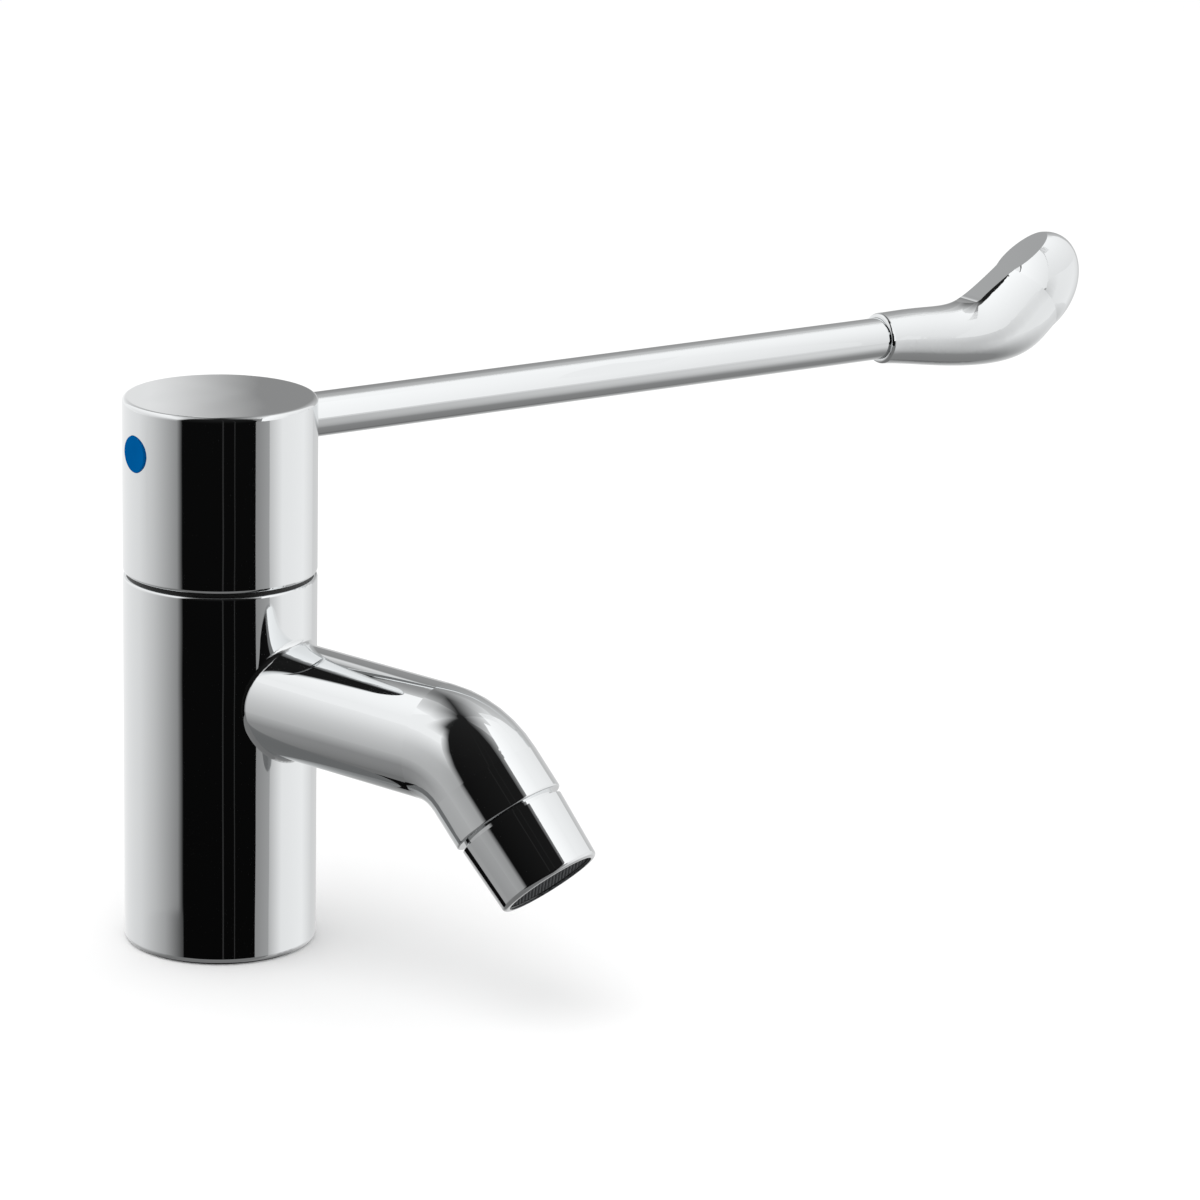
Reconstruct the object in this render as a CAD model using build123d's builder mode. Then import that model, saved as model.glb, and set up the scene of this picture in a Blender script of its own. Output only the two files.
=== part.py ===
from build123d import *
from math import cos, pi, radians, sin, tan
import os

# Elbow lever tap: a single cold tap with a bent fixed spout and a long lever for the forearm.
# Millimetres. +Z runs up the tap's axis, the origin is the centre of the base on the deck,
# and the spout points to -Y. The lever turns about the tap's axis.

# Fits
thread_clearance = 0.05
running_clearance = 0.05
seat_clearance = 0.05
free_gap = 0.3
overrun = 1.0

# Body and cap
body_diameter = 43.0
seam_height = 84.6
seam_gap = 0.8
cap_height = 39.4
base_edge_radius = 1.5
body_rim_radius = 0.6
casting_wall = 5.0

# Spout
spout_drop = 24.5
spout_slope = 2.55
spout_dip = 48.0
spout_straight = 60.7
spout_bend_radius = 18.3
spout_tail = 9.8
spout_diameter = 25.8
spout_bore = 16.0
spout_root_fillet = 1.2
spout_lip_radius = 0.4

# Waterways inside the body
valve_seat_thickness = 4.0
valve_seat_bore = 11.0
inlet_socket_depth = 14.0
inlet_step = 3.0
hex_recess_depth = 5.6
collar_depth = 9.0

# Headwork with its ceramic discs
thread_diameter = 20.96
barrel_reach = 22.0
barrel_diameter = 18.4
barrel_bore = 15.4
barrel_lift = 1.0
hex_across_flats = 24.0
hex_height = 4.4
neck_diameter = 15.0
neck_height = 7.6
window_width = 9.0
fibre_thickness = 1.0
fibre_width = 2.6
lip_seal_height = 2.6
disc_thickness = 3.4
disc_ear_width = 2.4
disc_ear_reach = 1.1
port_inner_diameter = 4.0
port_outer_diameter = 12.4

# Spindle
spindle_diameter = 10.0
flange_thickness = 2.0
slide_washer_thickness = 0.9
dog_width = 2.3
dog_length = 2.6
dog_engagement = 1.4
dog_height = 6.4
stop_lug_angle = 30.0
stop_lug_reach = 0.6
turn_angle = 90.0
stop_margin_angle = 3.0
ring_section = 1.8
ring_lift = 1.0
ring_spacing = 5.0
clip_thickness = 1.0
clip_width = 2.2
clip_groove_depth = 0.6
clip_opening = 5.0
spline_diameter = 8.0
spline_tooth_depth = 0.5
spline_teeth = 20
spindle_headroom = 6.3

# Cap, its hub and the ring in the seam
cap_wall = 2.8
cap_roof = 3.0
cap_edge_radius = 1.1
cap_rim_radius = 0.8
hub_wall = 2.5
hub_gap = 4.0
insert_wall = 1.9
glide_thickness = 0.7
glide_recess = 0.8
glide_upstand_width = 0.9
glide_upstand_height = 2.6

# Lever
lever_bearing = 69.7
lever_diameter = 10.0
lever_stud_diameter = 8.0
lever_stud_length = 12.0
lever_seat_depth = 1.2
lever_boss_wall = 2.7
lever_boss_cover = 0.4
lever_edge_chamfer = 0.4
paddle_start = 182.2

# Paddle at the end of the lever
paddle_length = 60.8
paddle_depth = 24.0
paddle_width = 16.0
paddle_slope = 32.6
sleeve_diameter = 12.2
mouth_edge_radius = 0.9
paddle_face_root = 27.6
face_lift = 0.3
paddle_root_radius = 6.0
paddle_tip_length = 14.3
paddle_tip_swell = 0.05

# Index plug and the grub screw behind it
plug_drop = 3.5
plug_diameter = 8.2
plug_thickness = 2.4
plug_proud = 0.3
plug_stem_diameter = 4.0
plug_stem_length = 3.0
plug_boss_wall = 1.6
grub_diameter = 5.0
grub_length = 7.0
grub_socket_across_flats = 2.5
grub_socket_depth = 2.5

# Outlet and aerator
outlet_neck_diameter = 22.0
outlet_neck_length = 7.0
outlet_groove = 1.2
shell_diameter = 24.6
shell_taper = 0.65
shell_length = 15.6
shell_lip_width = 0.8
shell_lip_thickness = 0.5
shell_edge_radius = 0.9
aerator_seal_thickness = 1.2
aerator_seal_width = 2.2
insert_rim_width = 1.1
insert_pin_bore = 1.6
insert_pin_rows = 2
insert_pin_count = 10
mesh_thickness = 0.6
mesh_pitch = 1.7
mesh_hole = 1.1
mesh_holes_across = 9

# Fixing below the deck
shank_length = 52.0
shank_wall = 3.5
shank_end_chamfer = 1.0
tail_length = 21.0
tail_relief_width = 2.0
tail_relief_depth = 1.2
deck_thickness = 15.0
gasket_inner_diameter = 28.0
gasket_width = 4.0
gasket_thickness = 1.6
rubber_washer_diameter = 34.0
rubber_washer_thickness = 3.0
clamp_washer_diameter = 36.0
clamp_washer_thickness = 1.6
backnut_across_flats = 30.0
backnut_height = 8.0
backnut_flange_diameter = 33.0
backnut_flange_thickness = 2.0
backnut_chamfer_drop = 1.2

# Worked out from the sizes above
body_radius = body_diameter / 2
thread_radius = thread_diameter / 2
thread_bore_radius = thread_radius + thread_clearance
spindle_radius = spindle_diameter / 2
lever_radius = lever_diameter / 2
stud_radius = lever_stud_diameter / 2
lever_boss_radius = stud_radius + lever_boss_wall
sleeve_radius = sleeve_diameter / 2

# Heights up the body and the headwork
spout_height = seam_height - spout_drop
collar_top = seam_height - hex_recess_depth
collar_height = collar_top - collar_depth
valve_seat_height = collar_height - barrel_reach
hex_bottom = collar_top + fibre_thickness
hex_top = hex_bottom + hex_height
neck_top = hex_top + neck_height
barrel_bottom = valve_seat_height + barrel_lift
fixed_disc_bottom = valve_seat_height + lip_seal_height
turning_disc_bottom = fixed_disc_bottom + disc_thickness + seat_clearance
turning_disc_top = turning_disc_bottom + disc_thickness
dog_bottom = turning_disc_top - dog_engagement + seat_clearance
flange_bottom = dog_bottom + dog_height
flange_top = flange_bottom + flange_thickness
barrel_step = flange_top + slide_washer_thickness + seat_clearance
window_sill_height = turning_disc_top + seat_clearance
window_top = flange_bottom - free_gap
clip_bottom = neck_top + running_clearance
recess_radius = hex_across_flats / 3 ** 0.5 + free_gap

# Heights up the cap
cap_bottom = seam_height + seam_gap
tap_height = cap_bottom + cap_height
cavity_top = tap_height - cap_roof
spindle_top_height = cavity_top - spindle_headroom
hub_bottom_height = clip_bottom + clip_thickness + hub_gap
spline_bottom = hub_bottom_height - free_gap
spline_length = spindle_top_height - spline_bottom
lever_height = tap_height - lever_boss_cover - lever_boss_radius
plug_height = lever_height - plug_drop

# Directions: the spout's plane with X outwards, and the lever's plane with X along the lever
spout_plane = Plane(origin=(0, 0, 0), x_dir=(0, -1, 0), z_dir=(-1, 0, 0))
lever_direction = Vector(sin(radians(lever_bearing)), -cos(radians(lever_bearing)), 0)
lever_side = Vector(lever_direction.Y, -lever_direction.X, 0)
lever_side_plane = Plane(origin=(0, 0, lever_height), x_dir=lever_direction, z_dir=lever_side)
lever_axis_plane = Plane(origin=(0, 0, lever_height), x_dir=lever_side, z_dir=lever_direction)
plug_axis_plane = Plane(origin=(0, 0, plug_height), x_dir=lever_side, z_dir=-lever_direction)

# Centre line of the spout, from the tap's axis to the neck for the aerator
slope = radians(spout_slope)
dip = radians(spout_dip)
bend_tangent = spout_bend_radius * tan((dip - slope) / 2)
spout_corner = (
    (spout_straight + bend_tangent) * cos(slope),
    spout_height - (spout_straight + bend_tangent) * sin(slope),
)
spout_end = (
    spout_corner[0] + (bend_tangent + spout_tail) * cos(dip),
    spout_corner[1] - (bend_tangent + spout_tail) * sin(dip),
)
outlet_origin = spout_plane.from_local_coords(Vector(*spout_end))
outlet_direction = Vector(0, -cos(dip), -sin(dip))
outlet_plane = Plane(origin=outlet_origin, x_dir=(1, 0, 0), z_dir=outlet_direction)
outlet_section = Plane(origin=outlet_origin, x_dir=(1, 0, 0), z_dir=(0, sin(dip), -cos(dip)))
outlet_axis = Axis(outlet_origin, outlet_direction)

os.makedirs("parts", exist_ok=True)


def finish(builder, name):
    # Labels a finished piece and writes it
    builder.part.label = name
    export_step(builder.part, f"parts/{name}.step")


def ring(bottom, top, outer, inner=0, mode=Mode.ADD):
    # A disc or ring about the tap's axis, for the piece that is being made
    with BuildSketch(Plane.XY.offset(bottom)) as outline:
        Circle(outer)
        if inner:
            Circle(inner, mode=Mode.SUBTRACT)
    extrude(to_extrude=outline.sketch, amount=top - bottom, mode=mode)


def outlet_ring(start, end, outer, inner=0, mode=Mode.ADD):
    # A disc or ring about the outlet's axis, measured from the end of the spout
    with BuildSketch(outlet_plane.offset(start)) as outline:
        Circle(outer)
        if inner:
            Circle(inner, mode=Mode.SUBTRACT)
    extrude(to_extrude=outline.sketch, amount=end - start, mode=mode)


# Body: a cast cylinder with the spout in one piece, cored for the water
with BuildLine(spout_plane) as spout_path:
    FilletPolyline((0, spout_height), spout_corner, spout_end, radius=spout_bend_radius)
spout_root_plane = Plane(origin=spout_path.line @ 0, z_dir=spout_path.line % 0)
chamber_radius = body_radius - casting_wall
shank_bore_radius = thread_radius - shank_wall

with BuildPart() as tap_body:
    ring(0, seam_height, body_radius)
    fillet(tap_body.edges().group_by(Axis.Z)[0], radius=base_edge_radius)
    fillet(tap_body.edges().group_by(Axis.Z)[-1], radius=body_rim_radius)
    with BuildSketch(spout_root_plane) as spout_outline:
        Circle(spout_diameter / 2)
    sweep(sections=spout_outline.sketch, path=spout_path.line)
    root_edges = tap_body.edges().filter_by(lambda edge: edge.geom_type == GeomType.BSPLINE)
    fillet(root_edges, radius=spout_root_fillet)
    fillet(tap_body.faces().sort_by(Axis(outlet_origin, outlet_direction))[-1].edges(),
           radius=spout_lip_radius)
    # Neck that the aerator screws on, with a groove behind it
    outlet_ring(-overrun, outlet_neck_length, outlet_neck_diameter / 2)
    with BuildSketch(spout_root_plane) as spout_core:
        Circle(spout_bore / 2)
    sweep(sections=spout_core.sketch, path=spout_path.line, mode=Mode.SUBTRACT)
    outlet_ring(-overrun, outlet_neck_length, spout_bore / 2, mode=Mode.SUBTRACT)
    # Inlet chamber, valve seat, outlet chamber, threaded collar and the recess for the hexagon
    ring(0, inlet_socket_depth, thread_bore_radius, mode=Mode.SUBTRACT)
    ring(0, inlet_socket_depth + inlet_step, shank_bore_radius, mode=Mode.SUBTRACT)
    ring(inlet_socket_depth + inlet_step, valve_seat_height - valve_seat_thickness,
         chamber_radius, mode=Mode.SUBTRACT)
    ring(0, valve_seat_height, valve_seat_bore / 2, mode=Mode.SUBTRACT)
    ring(valve_seat_height, collar_height, chamber_radius, mode=Mode.SUBTRACT)
    ring(valve_seat_height, collar_top, thread_bore_radius, mode=Mode.SUBTRACT)
    ring(collar_top, seam_height, recess_radius, mode=Mode.SUBTRACT)
    # Groove for the base gasket
    ring(0, gasket_thickness, gasket_inner_diameter / 2 + gasket_width + seat_clearance,
         gasket_inner_diameter / 2 - seat_clearance, mode=Mode.SUBTRACT)
finish(tap_body, "tap_body")

# Base gasket, pressed flush into its groove
with BuildPart() as base_gasket:
    ring(0, gasket_thickness, gasket_inner_diameter / 2 + gasket_width, gasket_inner_diameter / 2)
finish(base_gasket, "base_gasket")

# Threaded inlet shank, screwed into the underside of the body. A relief parts the thread for the
# backnut from the tail for the supply pipe.
tail_top = tail_length - shank_length
with BuildPart() as inlet_shank:
    ring(-shank_length, inlet_socket_depth, thread_radius, shank_bore_radius)
    ring(tail_top, tail_top + tail_relief_width, thread_radius + overrun,
         thread_radius - tail_relief_depth, mode=Mode.SUBTRACT)
    shank_ends = inlet_shank.edges().filter_by(GeomType.CIRCLE).group_by(Axis.Z)[0]
    chamfer(shank_ends.sort_by(SortBy.LENGTH)[-1], length=shank_end_chamfer)
finish(inlet_shank, "inlet_shank")

# Rubber washer and steel washer that bear on the underside of the deck
with BuildPart() as rubber_washer:
    ring(-deck_thickness - rubber_washer_thickness, -deck_thickness,
         rubber_washer_diameter / 2, thread_radius + free_gap)
finish(rubber_washer, "rubber_washer")

clamp_washer_top = -deck_thickness - rubber_washer_thickness
with BuildPart() as clamp_washer:
    ring(clamp_washer_top - clamp_washer_thickness, clamp_washer_top,
         clamp_washer_diameter / 2, thread_radius + free_gap)
finish(clamp_washer, "clamp_washer")

# Flanged backnut, with its hexagon's lower corners turned off at 30 degrees
backnut_top = clamp_washer_top - clamp_washer_thickness
backnut_bottom = backnut_top - backnut_height
corner_radius = backnut_across_flats / 3 ** 0.5
with BuildPart() as backnut:
    with BuildSketch(Plane.XY.offset(backnut_bottom)):
        RegularPolygon(backnut_across_flats / 2, side_count=6, major_radius=False)
    extrude(amount=backnut_height - backnut_flange_thickness)
    with BuildSketch(Plane.XZ):
        with BuildLine():
            Polyline(
                (corner_radius, backnut_bottom + backnut_chamfer_drop),
                (corner_radius - backnut_chamfer_drop * 3 ** 0.5, backnut_bottom),
                (corner_radius + overrun, backnut_bottom),
                (corner_radius + overrun, backnut_bottom + backnut_chamfer_drop),
                close=True,
            )
        make_face()
    revolve(axis=Axis.Z, mode=Mode.SUBTRACT)
    ring(backnut_top - backnut_flange_thickness, backnut_top, backnut_flange_diameter / 2)
    ring(backnut_bottom, backnut_top, thread_bore_radius, mode=Mode.SUBTRACT)
finish(backnut, "backnut")

# Headwork body: barrel with windows, thread, hexagon and neck
stop_sweep = turn_angle + stop_lug_angle + stop_margin_angle
with BuildPart() as headwork_body:
    ring(barrel_bottom, collar_height, barrel_diameter / 2)
    ring(collar_height, hex_bottom, thread_radius)
    with BuildSketch(Plane.XY.offset(hex_bottom)):
        RegularPolygon(hex_across_flats / 2, side_count=6, major_radius=False)
    extrude(amount=hex_height)
    ring(hex_top, neck_top, neck_diameter / 2)
    ring(barrel_bottom, barrel_step, barrel_bore / 2, mode=Mode.SUBTRACT)
    ring(barrel_bottom, neck_top, spindle_radius + running_clearance, mode=Mode.SUBTRACT)
    # Windows that let the water out, and slots below them for the ears of the fixed disc
    with BuildSketch(Plane.YZ.offset(-barrel_diameter)):
        with Locations((0, (window_sill_height + window_top) / 2)):
            Rectangle(window_width, window_top - window_sill_height)
    extrude(amount=2 * barrel_diameter, mode=Mode.SUBTRACT)
    with BuildSketch(Plane.YZ.offset(-barrel_diameter)):
        with Locations((0, barrel_bottom)):
            Rectangle(disc_ear_width + 2 * seat_clearance,
                      fixed_disc_bottom + disc_thickness - barrel_bottom,
                      align=(Align.CENTER, Align.MIN))
    extrude(amount=2 * barrel_diameter, mode=Mode.SUBTRACT)
    # Step that stops the lug on the spindle's flange at both ends of its quarter turn
    with BuildSketch(Plane.XY.offset(flange_bottom - free_gap)):
        with BuildLine():
            stop_arc = CenterArc((0, 0), barrel_bore / 2 + stop_lug_reach,
                                 -turn_angle - (stop_lug_angle + stop_margin_angle) / 2, stop_sweep)
            Line(stop_arc @ 1, (0, 0))
            Line((0, 0), stop_arc @ 0)
        make_face()
    extrude(amount=barrel_step - flange_bottom + free_gap, mode=Mode.SUBTRACT)
finish(headwork_body, "headwork_body")

# Fibre washer between the hexagon and the body
with BuildPart() as fibre_washer:
    ring(collar_top, hex_bottom, thread_radius + fibre_width,
         thread_radius + seat_clearance)
finish(fibre_washer, "fibre_washer")

# Lip seal that presses the discs together from below
with BuildPart() as lip_seal:
    ring(valve_seat_height, fixed_disc_bottom, barrel_bore / 2 - seat_clearance, valve_seat_bore / 2)
finish(lip_seal, "lip_seal")

# Openings of the two ceramic discs: a pair of opposite quarters
with BuildSketch() as port_pair:
    Circle(port_outer_diameter / 2)
    Circle(port_inner_diameter / 2, mode=Mode.SUBTRACT)
    Rectangle(port_outer_diameter, port_outer_diameter, align=Align.MIN, mode=Mode.SUBTRACT)
    Rectangle(port_outer_diameter, port_outer_diameter, align=Align.MAX, mode=Mode.SUBTRACT)
closed_port_pair = port_pair.sketch.rotate(Axis.Z, turn_angle)
disc_radius = barrel_bore / 2 - seat_clearance

with BuildPart() as fixed_disc:
    with BuildSketch(Plane.XY.offset(fixed_disc_bottom)):
        Circle(disc_radius)
        Rectangle(2 * (disc_radius + disc_ear_reach), disc_ear_width)
        add(port_pair.sketch, mode=Mode.SUBTRACT)
    extrude(amount=disc_thickness)
finish(fixed_disc, "fixed_disc")

turning_radius = barrel_bore / 2 - free_gap
with BuildPart() as turning_disc:
    with BuildSketch(Plane.XY.offset(turning_disc_bottom)):
        Circle(turning_radius)
        add(closed_port_pair, mode=Mode.SUBTRACT)
    extrude(amount=disc_thickness)
    # Notches for the spindle's two dogs
    with BuildSketch(Plane.XY.offset(turning_disc_top)):
        with PolarLocations(turning_radius, 2, start_angle=turn_angle):
            Rectangle(2 * (dog_length + seat_clearance), dog_width + 2 * seat_clearance)
    extrude(amount=-dog_engagement, mode=Mode.SUBTRACT)
finish(turning_disc, "turning_disc")

# Spindle: dogs, flange with its stop lug, shaft with grooves, and the splined end
ring_heights = [collar_height + ring_lift + step * ring_spacing for step in range(2)]
groove_radius = spindle_radius - ring_section
with BuildPart() as spindle:
    with BuildSketch(Plane.XY.offset(dog_bottom)):
        with PolarLocations(turning_radius - dog_length / 2, 2, start_angle=turn_angle):
            Rectangle(dog_length, dog_width)
    extrude(amount=dog_height)
    ring(dog_bottom, flange_bottom, turning_radius, turning_radius + overrun, mode=Mode.SUBTRACT)
    ring(flange_bottom, flange_top, turning_radius)
    with BuildSketch(Plane.XY.offset(flange_bottom)):
        with BuildLine():
            lug_arc = CenterArc((0, 0), barrel_bore / 2 + stop_lug_reach - free_gap,
                                -stop_lug_angle / 2, stop_lug_angle)
            Line(lug_arc @ 1, (0, 0))
            Line((0, 0), lug_arc @ 0)
        make_face()
    extrude(amount=flange_thickness)
    ring(flange_top, spline_bottom, spindle_radius)
    ring(spline_bottom, spindle_top_height, spline_diameter / 2)
    for height in ring_heights:
        ring(height, height + ring_section, spindle_radius + overrun, groove_radius,
             mode=Mode.SUBTRACT)
    ring(clip_bottom, clip_bottom + clip_thickness, spindle_radius + overrun,
         spindle_radius - clip_groove_depth, mode=Mode.SUBTRACT)
    # Spline: a V groove between every two teeth
    with BuildSketch(Plane.XY.offset(spline_bottom)):
        with PolarLocations(spline_diameter / 2, spline_teeth):
            Rectangle(spline_tooth_depth * 2 ** 0.5, spline_tooth_depth * 2 ** 0.5, rotation=45)
    extrude(amount=spline_length, mode=Mode.SUBTRACT)
finish(spindle, "spindle")

# Two O-rings on the spindle
with BuildPart() as spindle_o_rings:
    with BuildSketch(Plane.XZ):
        with Locations(*[(groove_radius + ring_section / 2, height + ring_section / 2)
                         for height in ring_heights]):
            Circle(ring_section / 2)
    revolve(axis=Axis.Z)
finish(spindle_o_rings, "spindle_o_rings")

# Slide washer between the flange and the step in the barrel
with BuildPart() as slide_washer:
    ring(flange_top, flange_top + slide_washer_thickness, turning_radius,
         spindle_radius + seat_clearance)
finish(slide_washer, "slide_washer")

# Clip that holds the spindle down on the neck
clip_inner = spindle_radius - clip_groove_depth
with BuildPart() as spindle_clip:
    ring(clip_bottom, clip_bottom + clip_thickness, clip_inner + clip_width, clip_inner)
    with BuildSketch(Plane.XY.offset(clip_bottom)):
        Rectangle(clip_inner + clip_width + overrun, clip_opening, align=(Align.MIN, Align.CENTER))
    extrude(amount=clip_thickness, mode=Mode.SUBTRACT)
finish(spindle_clip, "spindle_clip")

# Plastic ring that fills the seam and guides the cap
cap_cavity_radius = body_radius - cap_wall
glide_bottom = seam_height
with BuildPart() as glide_ring:
    ring(glide_bottom, glide_bottom + glide_thickness, body_radius - glide_recess,
         recess_radius)
    ring(glide_bottom, glide_bottom + glide_thickness + glide_upstand_height,
         cap_cavity_radius - free_gap, cap_cavity_radius - free_gap - glide_upstand_width)
finish(glide_ring, "glide_ring")

# Cap: a turned shell with a hub for the spindle and bosses for the lever and the index plug
insert_radius = spline_diameter / 2 + insert_wall
hub_radius = insert_radius + hub_wall
boss_start = insert_radius + hub_wall / 2
lever_seat = body_radius - lever_seat_depth
stud_start = lever_seat - lever_stud_length
plug_floor = body_radius + plug_proud - plug_thickness
with BuildPart() as handle_cap:
    ring(cap_bottom, tap_height, body_radius)
    fillet(handle_cap.edges().group_by(Axis.Z)[-1], radius=cap_edge_radius)
    fillet(handle_cap.edges().group_by(Axis.Z)[0], radius=cap_rim_radius)
    ring(cap_bottom, cavity_top, cap_cavity_radius, mode=Mode.SUBTRACT)
    ring(hub_bottom_height, cavity_top, hub_radius)
    with BuildSketch(lever_axis_plane.offset(boss_start)):
        Circle(lever_boss_radius)
    extrude(amount=cap_cavity_radius + overrun - boss_start)
    with BuildSketch(plug_axis_plane.offset(boss_start)):
        Circle(plug_diameter / 2 + plug_boss_wall)
    extrude(amount=cap_cavity_radius + overrun - boss_start)
    ring(hub_bottom_height, spindle_top_height + seat_clearance, insert_radius + seat_clearance,
         mode=Mode.SUBTRACT)
    # Threaded hole and seat for the lever
    with BuildSketch(lever_axis_plane.offset(stud_start)):
        Circle(stud_radius + thread_clearance)
    extrude(amount=body_radius, mode=Mode.SUBTRACT)
    with BuildSketch(lever_axis_plane.offset(lever_seat)):
        Circle(lever_radius + seat_clearance)
    extrude(amount=body_radius, mode=Mode.SUBTRACT)
    # Hole for the grub screw, and the seat of the index plug
    with BuildSketch(plug_axis_plane):
        Circle(grub_diameter / 2 + thread_clearance)
    extrude(amount=body_diameter, mode=Mode.SUBTRACT)
    with BuildSketch(plug_axis_plane.offset(plug_floor)):
        Circle(plug_diameter / 2 + seat_clearance)
    extrude(amount=body_radius, mode=Mode.SUBTRACT)
finish(handle_cap, "handle_cap")

# Splined plastic insert between the spindle and the cap's hub
with BuildPart() as spline_insert:
    ring(hub_bottom_height, spindle_top_height, insert_radius)
    ring(hub_bottom_height, spindle_top_height, spline_diameter / 2 + seat_clearance,
         mode=Mode.SUBTRACT)
finish(spline_insert, "spline_insert")

# Grub screw through the cap's wall on to the insert
grub_start = insert_radius + seat_clearance
with BuildPart() as grub_screw:
    with BuildSketch(plug_axis_plane.offset(grub_start)):
        Circle(grub_diameter / 2)
    extrude(amount=grub_length)
    with BuildSketch(plug_axis_plane.offset(grub_start + grub_length)):
        RegularPolygon(grub_socket_across_flats / 2, side_count=6, major_radius=False)
    extrude(amount=-grub_socket_depth, mode=Mode.SUBTRACT)
finish(grub_screw, "grub_screw")

# Blue index plug, with a domed face and a stem in the grub screw's hole
with BuildPart() as index_plug:
    with BuildSketch(plug_axis_plane.offset(plug_floor)):
        Circle(plug_diameter / 2)
    extrude(amount=plug_thickness)
    fillet(index_plug.faces().sort_by(Axis((0, 0, 0), -lever_direction))[-1].edges(),
           radius=plug_proud)
    with BuildSketch(plug_axis_plane.offset(plug_floor)):
        Circle(plug_stem_diameter / 2)
    extrude(amount=-plug_stem_length)
finish(index_plug, "index_plug")

# Lever: a round bar with a threaded stud at each end
lever_end = paddle_start + lever_seat_depth
with BuildPart() as lever_rod:
    with BuildSketch(lever_axis_plane.offset(lever_seat)):
        Circle(lever_radius)
    extrude(amount=lever_end - lever_seat)
    chamfer(lever_rod.edges().filter_by(GeomType.CIRCLE), length=lever_edge_chamfer)
    with BuildSketch(lever_axis_plane.offset(stud_start)):
        Circle(stud_radius)
    extrude(amount=lever_end + lever_stud_length - stud_start)
finish(lever_rod, "lever_rod")

# Paddle: a loft through ovals from the round sleeve to the bent blade, closed by a rounded tip.
# Each station is the place along the paddle, the rise above the lever's axis, the share of the
# full slope, and the oval's depth and width.
station_shares = [
    (0.067, -0.008, 0.00, 0.525, 0.776),
    (0.207, -0.035, 0.08, 0.581, 0.820),
    (0.396, -0.072, 0.47, 0.670, 0.900),
    (0.586, -0.003, 1.00, 0.885, 0.985),
    (0.726, 0.203, 1.10, 0.943, 0.960),
    (0.786, 0.339, 1.38, 0.964, 0.940),
]


def blade_plane(along, rise, tilt):
    # A plane square to the blade's direction at one place, with its X across the blade's depth
    heading = lever_direction * cos(tilt) + Vector(0, 0, sin(tilt))
    centre = lever_direction * (paddle_start + along) + Vector(0, 0, lever_height + rise)
    return Plane(origin=centre, x_dir=heading.cross(lever_side), z_dir=heading)


with BuildSketch(blade_plane(0, 0, 0)) as sleeve_end:
    Circle(sleeve_radius)
blade_sections = [sleeve_end.sketch]
for along, rise, tilt, depth, width in station_shares:
    tip_plane = blade_plane(along * paddle_length, rise * paddle_depth,
                            radians(tilt * paddle_slope))
    with BuildSketch(tip_plane) as oval:
        Ellipse(depth * paddle_depth / 2, width * paddle_width / 2)
    blade_sections.append(oval.sketch)
# The tip is a little fuller than the last oval, so the two surfaces cross
tip_size = (depth * paddle_depth / 2 + paddle_tip_swell,
            width * paddle_width / 2 + paddle_tip_swell,
            paddle_tip_length)

# Outline of what is cut away above the sleeve and above the sloping face
face_root = (paddle_start + paddle_face_root, sleeve_radius + face_lift)
face_reach = paddle_length
face_end = (face_root[0] + face_reach, face_root[1] + face_reach * tan(radians(paddle_slope)))
cut_start = (paddle_start, sleeve_radius + face_lift)
cut_corner = (cut_start[0], face_end[1])

with BuildPart() as lever_paddle:
    loft(sections=blade_sections)
    add(tip_plane.location * scale(Sphere(1, mode=Mode.PRIVATE), by=tip_size, mode=Mode.PRIVATE))
    with BuildSketch(lever_side_plane):
        with BuildLine():
            FilletPolyline(cut_start, face_root, face_end, radius=paddle_root_radius)
            Polyline(face_end, cut_corner, cut_start)
        make_face()
    extrude(amount=paddle_width, both=True, mode=Mode.SUBTRACT)
    mouth = lever_paddle.faces().sort_by(Axis((0, 0, 0), lever_direction))[0]
    fillet(mouth.edges(), radius=mouth_edge_radius)
    # Seat for the lever's end, and a threaded hole for its stud
    with BuildSketch(lever_axis_plane.offset(paddle_start)):
        Circle(lever_radius + seat_clearance)
    extrude(amount=lever_seat_depth, mode=Mode.SUBTRACT)
    with BuildSketch(lever_axis_plane.offset(paddle_start)):
        Circle(stud_radius + thread_clearance)
    extrude(amount=lever_seat_depth + lever_stud_length + free_gap, mode=Mode.SUBTRACT)
finish(lever_paddle, "lever_paddle")

# Aerator shell: a tapered turned sleeve with an inward lip, screwed on the neck
shell_start = outlet_groove
shell_end = shell_start + shell_length
shell_bore = outlet_neck_diameter / 2 + thread_clearance
shell_cavity_end = shell_end - shell_lip_thickness
with BuildPart() as aerator_shell:
    with BuildSketch(outlet_section):
        with BuildLine():
            Polyline(
                (shell_bore, shell_start),
                (shell_diameter / 2, shell_start),
                (shell_diameter / 2 - shell_taper, shell_end),
                (shell_bore - shell_lip_width, shell_end),
                (shell_bore - shell_lip_width, shell_cavity_end),
                (shell_bore, shell_cavity_end),
                close=True,
            )
        make_face()
    revolve(axis=outlet_axis)
    rim_edges = aerator_shell.faces().sort_by(outlet_axis)[-1].edges()
    fillet(rim_edges.sort_by(SortBy.LENGTH)[-1], radius=shell_edge_radius)
finish(aerator_shell, "aerator_shell")

# Seal between the neck and the aerator's insert
cage_radius = shell_bore - seat_clearance
with BuildPart() as aerator_seal:
    outlet_ring(outlet_neck_length, outlet_neck_length + aerator_seal_thickness, cage_radius,
                cage_radius - aerator_seal_width)
finish(aerator_seal, "aerator_seal")

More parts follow.
